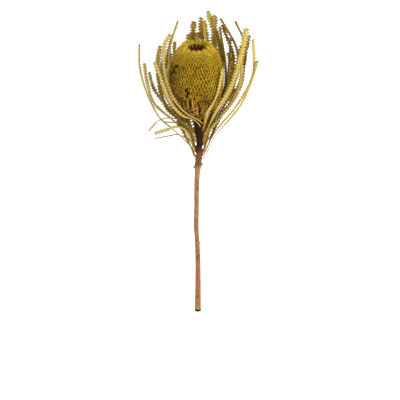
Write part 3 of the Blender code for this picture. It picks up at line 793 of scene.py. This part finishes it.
def makeStem():
    rings, around = stem["rings"], stem["around"]
    centres = [Vector((side, -front, height)) for height, side, front, _ in stem["route"]]
    line = np.array(smoothLine(centres, rings))
    turns = np.linspace(0, math.tau, around, endpoint=False)
    turnMap = np.abs(turns / math.pi - 1)
    out = aroundAxis(1.0, turns, 0.0)
    grid = line[:, None] + out[None] * stemRadius(line[:, 2])[:, None, None]
    relief, knots = barkRelief(grid, line)
    grid = grid + out[None] * relief[..., None]
    # stubs of shed leaves are pulled out of the bark
    for height, azimuth, length, radius in stem["stubs"]:
        foot = onStem(height, azimuth)
        tip = np.array(spot(height + length * 0.5, float(stemRadius(height)) + length * 0.75, azimuth))
        pull = ease(radius * 1.5, radius * 0.35, np.linalg.norm(grid - foot, axis=-1))
        grid = grid + (tip + stemDrift(height) - foot) * pull[..., None]
    index = np.arange(rings * around).reshape(rings, around)
    points, faces = grid.reshape(-1, 3), ringQuads(index)
    barkMap = np.stack(np.broadcast_arrays(turnMap, grid[..., 2] / stem["mapLength"]), axis=-1).reshape(-1, 2)
    slots = [0] * len(faces)
    # the cut end, slightly dished, with a rim of bark
    last = index[0]
    for share, dish in stem["cut"]:
        ring = line[0] + (points[index[0]] - line[0]) * share
        ring[:, 2] += dish + 0.12 * wobble(ring, 1.3, share)
        new = np.arange(len(points), len(points) + around)
        points = np.concatenate((points, ring))
        barkMap = np.concatenate((barkMap, np.stack((np.full(around, share), turnMap), axis=1)))
        faces += quads(last, new, np.roll(new, -1), np.roll(last, -1))
        slots += [1] * around
        last = new
    faces += [last[::-1].tolist(), index[-1].tolist()]
    knotMap = np.zeros((len(points), 2))
    knotMap[:knots.size] = knots.reshape(-1, 1)
    maps = [("bark", barkMap), ("knots", knotMap)]
    makePiece("woodyStem", points, faces, [stemBark, cutWood], maps, slots + [1, 0], ["stem"])


neckScales = {
    "count": 300, "steps": 5, "feet": (0.5, 53), "lengths": (1.6, 4.2), "halfWidths": (0.25, 0.6),
    "widths": ((0, 0.4, 1), (1, 0.85, 0.15)), "flatness": 0.45, "sides": 4, "topOfNeck": 54.0,
}


def makeNeckScales():
    # small dark scales and hairs that roughen the neck
    dice = np.random.default_rng(41)
    count = neckScales["count"]
    along = np.linspace(0, 1, neckScales["steps"])
    feet = dice.uniform(*neckScales["feet"], count)
    turns = dice.uniform(0, math.tau, count)
    heights = feet[:, None] + dice.uniform(*neckScales["lengths"], count)[:, None] * along
    lift = dice.uniform(0.1, 0.9, count)[:, None] * along ** 1.5 + 0.1 - 0.35 * (1 - along)
    radius = stemRadius(np.minimum(heights, neckScales["topOfNeck"])) + lift
    places = turns[:, None] + dice.normal(0, 0.12, count)[:, None] * along
    centres = aroundAxis(radius, places, heights) + stemDrift(heights)
    widths = tapered(dice, neckScales, count, along)
    outwards, depths = aroundAxis(1.0, places, 0.0), widths * neckScales["flatness"]
    points, faces, number, _ = strandTubes(centres, outwards, widths, depths, neckScales["sides"])
    bark = np.stack((dice.random(count)[number], points[:, 2] / stem["mapLength"]), axis=1)
    makePiece("neckScales", points, faces, [stemBark], [("bark", bark)])


makeStem()
makeNeckScales()
print("stem and neck made")

# Leaves

leafPlan = {
    "thickness": 0.8, "stalkWidth": 1.7, "stalkShare": 0.13, "bladeShare": 0.34, "facing": 130.0,
    "stalkRows": 9, "points": 44, "spacing": 0.7, "rounds": 240, "search": 12, "reachSearched": 12,
    "bladeThickness": 0.46, "stalkThickness": 1.15, "toothPitch": 3.8, "toothDepth": 0.7,
    # how far the teeth stand past the blade's own width
    "toothReach": {"left": 0.6, "right": 1.0, "low": 0.6, "back": 1.0, "under": 0.8},
    # where a tooth has its points along its pitch, and a blade has them from edge to edge
    "toothSteps": (0.0, 0.24, 0.48, 0.66, 0.83), "toothPeak": 0.66,
    "acrossSteps": (-1, -0.88, -0.55, -0.1, 0, 0.1, 0.55, 0.88, 1.0),
}

# on each side of the cup: root's height and azimuth, width, roll at the middle and the
# tip, tone from 0 for bright straw to 1 for dark olive, partly each leaf's own colour and
# partly painted shade for leaves that lie in shade, and the route as height, radius and
# azimuth, which is left out where it is the root's
leafRoutes = {
    "left": (
        ((12, -92), 7.2, (22, 28), 0.15, (
            (30, 16), (54, 42), (66, 50.5), (92, 61), (118, 67, -93), (145, 67, -96),
        )),
        ((17, -104), 7.2, (55, 65), 0.2, ((46, 25), (67, 52, -106), (92, 61, -107), (117, 65, -108))),
        ((30, -102), 6.6, (-15, -10), 0.28, (
            (49, 22, -116), (66, 42, -117), (84, 57, -116), (104, 62, -114),
        )),
        ((24, -125), 6.8, (-15, -30), 0.3, ((46, 21, -124), (61, 45), (103, 56, -124), (136, 52, -124))),
        ((50, 55), 7.2, (45, 60), 0.0, (
            (61.5, 17.4, 4), (67.8, 22.2, -22), (84.8, 31.8, -54), (113.4, 38.5, -75), (146, 37.5, -86),
            (159.5, 30, -90),
        )),
        ((46, 28), 6.6, (50, 60), 0.05, (
            (58, 13.5, -4), (68, 26.5, -39.5), (84, 36.8, -58), (107.4, 42.5, -70.5), (128.7, 49.2, -80.6),
        )),
        ((16, -137), 6.4, (0, 10), 0.18, ((50, 31, -134), (78, 53, -134), (117, 50, -134), (167, 35, -140))),
        ((30, -146), 6.6, (0, 10), 0.3, ((55, 29), (76, 46), (110, 48), (139, 44, -143))),
        ((34, -128), 6.6, (55, 65), 0.2, ((61, 28), (80, 41), (108, 42), (136, 40))),
        ((38, -110), 7.2, (60, 60), 0.1, ((62, 23), (81, 36), (100, 39, -112), (118, 36, -118))),
    ),
    "right": (
        ((29, 118), 7.8, (-10, -10), 0.5, ((59, 22), (81, 38, 120), (115, 41, 122), (161, 36, 128))),
        ((24, 134), 7.2, (0, -20), 0.7, ((58, 24), (85, 40), (117, 43), (154, 40, 142))),
        ((12, 112), 7.2, (10, 10), 0.45, ((54, 25), (88, 49), (130, 53, 113), (172, 36, 128))),
        ((18, 128), 7.2, (20, 10), 0.7, ((57, 27), (87, 48, 126), (120, 54, 126), (161, 44, 136))),
        ((35, 104), 6.6, (-10, 0), 0.55, ((65, 20), (90, 36, 106), (119, 41, 108), (151, 43, 108))),
        ((25, 70), 9.0, (-50, -60), 0.1, ((60, 21, 71), (97, 41.5, 76), (137, 53, 80), (168, 58, 86))),
        ((14, 98), 7.2, (-15, 20), 0.9, ((54, 25), (96, 51, 99), (138, 59, 100), (171, 48, 108))),
        ((6, 104), 6.6, (28, 25), 0.35, ((56, 30), (93, 53.5, 106), (127, 60, 107), (152, 66, 107))),
        ((3, 86), 6.0, (-38, -40), 0.2, (
            (34, 22), (70, 51, 88), (100, 64, 89), (120, 68, 90), (153, 66, 92),
        )),
        ((7, 78), 6.6, (-25, -35), 0.8, ((35, 20), (69, 45.5, 80), (103, 64, 82), (130, 71.5, 84))),
        ((10, 90), 9.0, (-50, -55), 0.1, ((46, 20), (71, 40, 91), (96, 51.4, 92), (132, 53, 92))),
        ((40, 62), 6.0, (-10, -10), 0.1, (
            (55, 11.5, 52), (70.4, 24.5, 31), (93, 33.5, 46), (113.9, 36, 55), (124.5, 36, 58),
        )),
        ((20, 82), 7.8, (-40, -40), 0.25, ((57, 19), (83, 37, 84), (111, 46, 86), (147, 52, 90))),
    ),
    "low": (
        ((8, -70), 6.0, (40, 70), 0.05, (
            (32.3, 9.2), (41.6, 14.5), (47, 23, -72), (43.9, 36, -76.3), (39.3, 50, -80),
        )),
        ((3, -78), 2.8, (10, 10), 0.4, (
            (28.5, 10.5, -74), (37.6, 22.8, -74), (37.1, 30.5, -75), (33.5, 50.3),
        )),
        ((27, -60), 2.7, (6, 14), 0.1, ((48, 11), (59, 27, -70), (57, 44, -76), (43, 57, -80))),
        ((33, -76), 3.2, (10, 10), 0.3, ((45, 9, -78), (50.5, 20, -81), (51, 29, -85), (52, 38, -86))),
    ),
    "back": (
        ((33, -168), 7.9, (0, 0), 0.95, ((54, 32), (81, 46), (114, 46), (147, 40, -167))),
        ((21, -174), 7.8, (0, 0), 0.9, ((48, 32), (74, 52, -173), (117, 53, -173), (163, 40, -176))),
        ((38, 180), 7.2, (0, 0), 0.8, ((57, 28), (83, 43, 179), (115, 42), (149, 38, 178))),
        ((26, 173), 7.8, (0, 0), 0.6, ((50, 32), (74, 50, 172), (118, 50, 171), (167, 40))),
        ((16, 160), 7.8, (0, 60), 0.45, ((50, 33, 158), (76, 54, 153), (118, 56, 149), (174, 44, 164))),
        ((31, 158), 8.4, (0, 0), 0.3, ((52, 30), (76, 47), (121, 48, 155), (172, 40, 146))),
        ((36, 165), 7.2, (0, 30), 0.35, ((56, 28), (79, 43, 163), (122, 43, 161), (166, 33))),
    ),
    "under": (
        ((8, -151), 7.2, (0, 0), 0.5, ((44, 36), (68, 62, -152), (96, 72, -152), (116, 66, -152))),
        ((5, -163), 7.2, (0, 0), 0.3, ((38, 32), (66, 58, -164), (100, 70, -164), (120, 64, -164))),
        ((11, -176), 7.2, (0, 0), 0.6, ((42, 34), (68, 58, -177), (104, 68, -177), (122, 60))),
        ((1, 178), 7.2, (0, 0), 0.2, ((38, 34, 171), (70, 60, 170), (108, 70, 170), (124, 62, 170))),
        ((8, 164), 7.2, (0, 0), 0.5, ((40, 33, 160), (68, 60, 158), (106, 71, 158), (122, 63, 158))),
        ((2, 148), 7.2, (0, 0), 0.3, ((38, 34, 147), (68, 62, 146), (100, 74, 146), (118, 68, 146))),
        ((4, -130), 6.6, (10, 20), 0.4, ((42, 32, -139), (68, 56, -140), (92, 66, -140), (108, 66, -140))),
    ),
}

leaves = [
    (f"{side}_{number:02d}", *leaf)
    for side, group in leafRoutes.items() for number, leaf in enumerate(group, 1)
]


def bladeGrowth(share):
    # from 0 on the stalk to 1 where the blade is full
    return ease(leafPlan["stalkShare"] - 0.06, leafPlan["bladeShare"], share)


def bladeHalf(share, width):
    # half the width of a leaf, without its teeth
    return (leafPlan["stalkWidth"] + (width - leafPlan["stalkWidth"]) * bladeGrowth(share)) / 2


def bladeAxes(lines, rolls):
    # directions along, across and through the blades at every point
    ahead = unit(np.gradient(lines, axis=1))
    across = unit(np.cross(ahead, np.array((0, 0, leafPlan["facing"])) - lines))
    across = across * np.cos(rolls)[..., None] + np.cross(ahead, across) * np.sin(rolls)[..., None]
    return np.stack((ahead, across, np.cross(ahead, across)), axis=2)


def reachOf(axes, halves, direction):
    return (abs((axes * direction[..., None, :]).sum(-1)) * halves).sum(-1)


def nearPairs(lines):
    points = lines.reshape(-1, 3)
    owner = np.repeat(np.arange(len(lines)), lines.shape[1])
    near = owner[:, None] < owner[None, :]
    for side in range(3):
        near &= abs(points[:, None, side] - points[None, :, side]) < leafPlan["reachSearched"]
    return np.nonzero(near)


def pushApart(lines, axes, halves, pairs):
    points, boxes, sizes = lines.reshape(-1, 3), axes.reshape(-1, 3, 3), halves.reshape(-1, 3)
    first, second = pairs
    between = points[second] - points[first]
    choices = np.concatenate((boxes[first, 1:], boxes[second, 1:]), axis=1)
    rooms = []
    for choice in range(4):
        way = choices[:, choice]
        taken = reachOf(boxes[first], sizes[first], way) + reachOf(boxes[second], sizes[second], way)
        rooms.append(abs((between * way).sum(-1)) - taken)
    best, room = np.argmax(rooms, axis=0), np.max(rooms, axis=0)
    touching = room < 0
    way = choices[np.arange(len(best)), best]
    way = way * np.sign((between * way).sum(-1) + 1e-9)[:, None]
    move = (way * -room[:, None] / 2)[touching]
    moves, shares = np.zeros_like(points), np.zeros(len(points))
    for moved, step in ((second[touching], move), (first[touching], -move)):
        np.add.at(moves, moved, step)
        np.add.at(shares, moved, 1)
    return (moves / np.maximum(shares, 1)[:, None]).reshape(lines.shape)


def bodyOutline():
    # heights and radii of the stem and the head together
    heights, radii = list(stemHeights[:-1]), list(stemRadii[:-1])
    for radius, height in outline:
        if radius > 0.3 * head["radius"] and height > heights[-1]:
            heights.append(height)
            radii.append(radius)
    return heights + [heights[-1] + 2], radii + [0]


def pushOffBody(lines, axes, halves, body):
    outward = (lines - stemDrift(lines[..., 2])) * (1, 1, 0)
    radius = np.linalg.norm(outward, axis=-1)
    outward = outward / radius[..., None]
    need = np.interp(lines[..., 2], *body) + reachOf(axes, halves, outward)
    moves = outward * np.maximum(need - radius, 0)[..., None]
    up = layTurn[2]
    low = lines @ up + pose["node"][2] - reachOf(axes, halves, np.broadcast_to(up, lines.shape))
    return moves + up * np.maximum(-leafPlan["spacing"] / 2 - low, 0)[..., None]


def settledLeaves():
    # the leaves' lines, bent just enough to keep clear of each other
    count, body = leafPlan["points"], bodyOutline()
    shares = np.linspace(0, 1, count)
    lines, rolls, halves = [], [], []
    for _, (rootHeight, rootAzimuth), width, roll, _, route in leaves:
        rootRadius = float(stemRadius(rootHeight)) + pose["seatGap"] + leafPlan["thickness"] / 2
        root = spot(rootHeight, rootRadius, rootAzimuth) + Vector(stemDrift(rootHeight))
        knots = [root] + [spot(*(*place, rootAzimuth)[:3]) for place in route]
        line = np.array(smoothLine(knots, count))
        lines.append(line)
        rolls.append(np.radians(np.interp(shares, (0, 0.5, 1), (0, *roll))))
        step = lengthOf(line) / count
        wide = bladeHalf(shares, width) + leafPlan["spacing"] / 2
        thick = np.full(count, (leafPlan["thickness"] + leafPlan["spacing"]) / 2)
        halves.append(np.stack((np.full(count, step * 0.6), wide, thick), axis=1))
    lines, rolls, halves = np.array(lines), np.array(rolls), np.array(halves)
    for turn in range(leafPlan["rounds"]):
        if turn % leafPlan["search"] == 0:
            pairs = nearPairs(lines)
        axes = bladeAxes(lines, rolls)
        moves = pushApart(lines, axes, halves, pairs) + pushOffBody(lines, axes, halves, body)
        moves[:, 0] = 0
        for _ in range(3):
            moves[:, 1:-1] = (moves[:, :-2] + 2 * moves[:, 1:-1] + moves[:, 2:]) / 4
            moves[:, -1] = (moves[:, -2] + moves[:, -1]) / 2
        lines = lines + moves
    return lines, rolls


def leafMaterial(name, bright, dark, edge, rib, specular):
    material, tree = startMaterial(name, specular)
    across, teeth = readMap(tree, "blade")
    tone, seed = readMap(tree, "tone")
    along, _ = readMap(tree, "along")
    out = (across - 0.5).worked("ABSOLUTE") * 2.0
    place = placed(across, teeth * 0.5, seed * 61.0)
    broad, fine = mottled(place, 1.3, 0.35)
    streak, grit = mottled(place, 5.0, 0.5)
    veinMask = stepped(((teeth - out * 0.35).worked("FRACT") - 0.5).worked("ABSOLUTE"), 0.1, 0.03)
    colour = layered(
        # the tone from bright to dark: partly each leaf's own colour, partly painted shade
        blended(stepped(tone + (broad - 0.5) * 0.4, 0.0, 1.0), bright, dark),
        (streak * 0.35, tuple((one + other) / 2 for one, other in zip(edge, dark))),
        # side veins leave the midrib, one to each tooth
        (veinMask * 0.3, rib),
        (stepped(out + fine * 0.2, 0.66, 1.02) * 0.85, edge),
        (stepped(out, 0.15, 0.05) * 0.75, rib),
        (stepped(grit, 0.72, 0.9) * 0.5, edge),
        # orange-brown at the stalk, scorched at the tip
        (stepped(along, 0.2, 0.07), blended(fine, (0.42, 0.22, 0.035), (0.68, 0.44, 0.09))),
        (stepped(along, 0.04, 0.0), (0.16, 0.06, 0.025)),
        (stepped(along, 0.975, 1.0) * stepped(fine, 0.2, 0.6) * 0.7, (0.13, 0.07, 0.025)),
    )
    relief = veinMask * -0.5 + grit * 0.6 + streak
    return finishMaterial(material, colour, stepped(fine, 0.0, 1.0, 0.5, 0.72), relief, 0.00018)


# bright straw outsides, olive insides with dark edges
leafOutside = leafMaterial(
    "leafOutsideStraw", (0.685, 0.5, 0.108), (0.52, 0.37, 0.06), (0.2, 0.115, 0.025), (0.78, 0.61, 0.19), 0.12
)
leafInside = leafMaterial(
    "leafInsideOlive", (0.76, 0.55, 0.083), (0.39, 0.27, 0.03), (0.08, 0.042, 0.01), (0.66, 0.49, 0.095), 0.15
)
toothSteps, acrossSteps = np.array(leafPlan["toothSteps"]), np.array(leafPlan["acrossSteps"])


def toothShape(phase):
    # a saw tooth: a slow rise to its peak, then a quick fall
    phase, peak = phase % 1, leafPlan["toothPeak"]
    return np.where(phase < peak, phase / peak, (1 - phase) / (1 - peak))


def bladeReach(shares, teeth, toothCount, half, seed, dice):
    # how far each point across the blade is from the midrib, with teeth bitten out of the edges
    depth = leafPlan["toothDepth"] * half * ease(leafPlan["stalkShare"], leafPlan["bladeShare"] * 0.8, shares)
    uneven = np.interp(teeth, np.arange(toothCount + 2), 1 + 0.25 * dice.uniform(-1, 1, toothCount + 2))
    taper = 1 - 0.2 * ease(0.97, 1.0, shares)
    halves = []
    for phase, end in ((0.0, 0.8), (0.12, 0.7)):
        bite = depth * uneven * (1 - toothShape(teeth + phase))
        bite[:leafPlan["stalkRows"]] = 0
        halves.append((half * taper - bite) * (1 + 0.03 * np.sin(teeth * 0.7 + seed)))
        halves[-1][-1] *= end
    return np.stack([halves[0 if across < 0 else 1] * across for across in acrossSteps], axis=1)


def bladeLevel(teeth, growth, half, seed):
    # the blade dips at the midrib, swells between the veins and rolls over at its edges
    out = abs(acrossSteps)
    swell = 0.5 + 0.5 * np.cos(math.tau * (teeth[:, None] - 0.5 + 0.15 * np.sign(acrossSteps)))
    dish = -half[:, None] * (0.1 * out ** 2 + 0.24 * np.maximum(out - 0.08, 0)) * growth[:, None]
    pillow = -0.24 * np.sin(math.pi * np.minimum(out, 1))[None] * (0.3 + 0.7 * swell) * growth[:, None]
    rolled = 0.34 * ease(0.7, 1.0, out)[None] * growth[:, None]
    flutter = 0.16 * growth[:, None] * acrossSteps[None] * np.sin(teeth[:, None] * 0.55 + seed)
    return dish + pillow + rolled + flutter


def makeLeaf(name, width, line, rolls, tone, seed):
    dice = np.random.default_rng(seed)
    side, number = name.split("_")
    axes = bladeAxes(line[None], rolls[None])[0]
    stalkShare, bladeShare = leafPlan["stalkShare"], leafPlan["bladeShare"]
    toothCount = max(6, round(lengthOf(line) * (1 - stalkShare) / leafPlan["toothPitch"]))
    stalkSteps = np.linspace(0, stalkShare, leafPlan["stalkRows"])[:-1]
    toothPlaces = (np.arange(toothCount)[:, None] + toothSteps).ravel()
    shares = np.concatenate((stalkSteps, stalkShare + (1 - stalkShare) * toothPlaces / toothCount, [1.0]))
    teeth = (shares - stalkShare) / (1 - stalkShare) * toothCount
    places = np.linspace(0, 1, len(line))

    def finer(values):
        made = np.stack([np.interp(shares, places, values[:, k]) for k in range(3)], axis=1)
        for _ in range(6):  # takes the corners out of the line
            made[1:-1] = (made[:-2] + 2 * made[1:-1] + made[2:]) / 4
        return made

    centre, across, through = finer(line), unit(finer(axes[:, 1])), unit(finer(axes[:, 2]))
    growth = bladeGrowth(shares)
    half = bladeHalf(shares, width) + leafPlan["toothReach"][side] * growth * min(1, width / 6)
    reach = bladeReach(shares, teeth, toothCount, half, seed, dice)
    level = bladeLevel(teeth, growth, half, seed)
    out = abs(acrossSteps)
    thinning = ease(0.06, bladeShare * 0.75, shares)
    thick = leafPlan["stalkThickness"] + (leafPlan["bladeThickness"] - leafPlan["stalkThickness"]) * thinning
    profile = np.sqrt(np.maximum(1 - (out * 0.93) ** 2, 0))  # round stalk, flat blade
    thin = thick[:, None] / 2 * (profile + (1 - profile) * 0.75 * growth[:, None])
    midrib = 0.2 * ease(0.2, 0.0, out)[None] * (0.3 + 0.7 * growth[:, None])
    drift = 0.35 * growth * np.sin(shares * 7 + seed * 1.7)
    base = centre[:, None] + across[:, None] * reach[..., None] + (through * drift[:, None])[:, None]
    outside = base + through[:, None] * (level + thin + midrib)[..., None]
    inside = base + through[:, None] * (level - thin + midrib * 0.6)[..., None]
    # the root is sunk in the bark
    rootward = -unit((centre[0] - stemDrift(centre[0][2])) * (1, 1, 0)) * 1.3
    for face in (outside, inside):
        face[0] += rootward
        face[1] += rootward * 0.3
    rows, columns = reach.shape
    outer = np.arange(rows * columns).reshape(rows, columns)
    inner = outer + rows * columns
    groups = [
        quads(outer[:-1, :-1], outer[1:, :-1], outer[1:, 1:], outer[:-1, 1:]),
        quads(inner[:-1, :-1], inner[:-1, 1:], inner[1:, 1:], inner[1:, :-1]),
        quads(outer[:-1, 0], inner[:-1, 0], inner[1:, 0], outer[1:, 0]),
        quads(outer[:-1, -1], outer[1:, -1], inner[1:, -1], inner[:-1, -1]),
        quads(outer[0, :-1], outer[0, 1:], inner[0, 1:], inner[0, :-1]),
        quads(outer[-1, :-1], inner[-1, :-1], inner[-1, 1:], outer[-1, 1:]),
    ]
    slots = np.repeat((0, 1, 1, 1, 0, 0), [len(group) for group in groups])
    points = np.concatenate((outside.reshape(-1, 3), inside.reshape(-1, 3)))
    blade = np.stack(np.broadcast_arrays((acrossSteps + 1) / 2, teeth[:, None]), axis=-1).reshape(-1, 2)
    alongMap = np.stack((np.repeat(shares, columns), np.zeros(rows * columns)), axis=1)
    maps = [
        ("blade", np.tile(blade, (2, 1))), ("tone", np.tile((tone, dice.random()), (len(points), 1))),
        ("along", np.tile(alongMap, (2, 1))),
    ]
    makePiece(
        "leaf" + side.capitalize() + number, points, sum(groups, []), [leafOutside, leafInside],
        maps, slots, ["leaf_" + name],
    )


leafLines, leafRolls = settledLeaves()
for count, (leaf, line, roll) in enumerate(zip(leaves, leafLines, leafRolls)):
    makeLeaf(leaf[0], leaf[2], line, roll, leaf[4], 100 + count)
print("made", len(leaves), "leaves")

# Table, light and camera

studio = {
    "tableSize": 3.0, "tableDrop": 0.0001, "tableTone": 0.93, "tableGlow": 0.5, "skyStrength": 0.63,
    # name, place, aim, width, power
    "softboxes": (
        ("keySoftbox", (0.95, 0.45, 1.25), (0, 0.06, 0.03), 1.1, 19.5),
        ("fillSoftbox", (-0.9, -0.5, 1.1), (0, 0.05, 0.03), 1.0, 4.0),
    ),
    "distance": 2.2, "frameWidth": 0.4745, "framePixels": 400, "tilt": -10.0, "nodePixel": (196.5, 161.85),
}


def makeTable():
    size, tone = studio["tableSize"], studio["tableTone"]
    mesh = bpy.data.meshes.new("paleTable")
    corners = [(-size, -size, 0), (size, -size, 0), (size, size, 0), (-size, size, 0)]
    mesh.from_pydata(corners, [], [(0, 1, 2, 3)])
    material, tree = startMaterial("palePaper", 0.1)
    for socket, value in (
        ("Base Color", (tone, tone, tone)), ("Roughness", 0.9),
        ("Emission Color", (1, 1, 1)), ("Emission Strength", studio["tableGlow"]),
    ):
        feed(tree, tree.nodes["Principled BSDF"].inputs[socket], value)
    mesh.materials.append(material)
    table = addObject("paleTable", mesh)
    table.location.z = min(0.0, boxAtLoad[0][2]) - studio["tableDrop"]


def addSoftbox(name, place, aim, width, power):
    light = bpy.data.lights.new(name, "AREA")
    light.shape, light.size, light.energy = "SQUARE", width, power
    lamp = addObject(name, light)
    lamp.location = place
    lamp.rotation_euler = (Vector(aim) - Vector(place)).to_track_quat("-Z", "Y").to_euler()


def addCamera():
    camera = bpy.data.cameras.new("photoCamera")
    camera.lens_unit = "FOV"
    camera.angle = 2 * math.atan(studio["frameWidth"] / 2 / studio["distance"])
    holder = addObject("photoCamera", camera)
    holder.rotation_euler = (math.radians(studio["tilt"]), 0, 0)
    turn = holder.rotation_euler.to_matrix()
    # the node is put at its place in the picture
    perPixel, middle = studio["frameWidth"] / studio["framePixels"], studio["framePixels"] / 2
    right = (studio["nodePixel"][0] - middle) * perPixel
    up = (middle - studio["nodePixel"][1]) * perPixel
    holder.location = Vector(pose["node"]) * mm + turn @ Vector((-right, -up, studio["distance"]))
    bpy.context.scene.camera = holder


def addSky():
    world = bpy.data.worlds.new("studioWhite")
    world.use_nodes = True
    background = world.node_tree.nodes["Background"]
    background.inputs["Color"].default_value = (1, 1, 1, 1)
    background.inputs["Strength"].default_value = studio["skyStrength"]
    bpy.context.scene.world = world


makeTable()
for softbox in studio["softboxes"]:
    addSoftbox(*softbox)
addSky()
addCamera()
bpy.context.scene.view_settings.view_transform = "Standard"
print("table, light and camera placed")
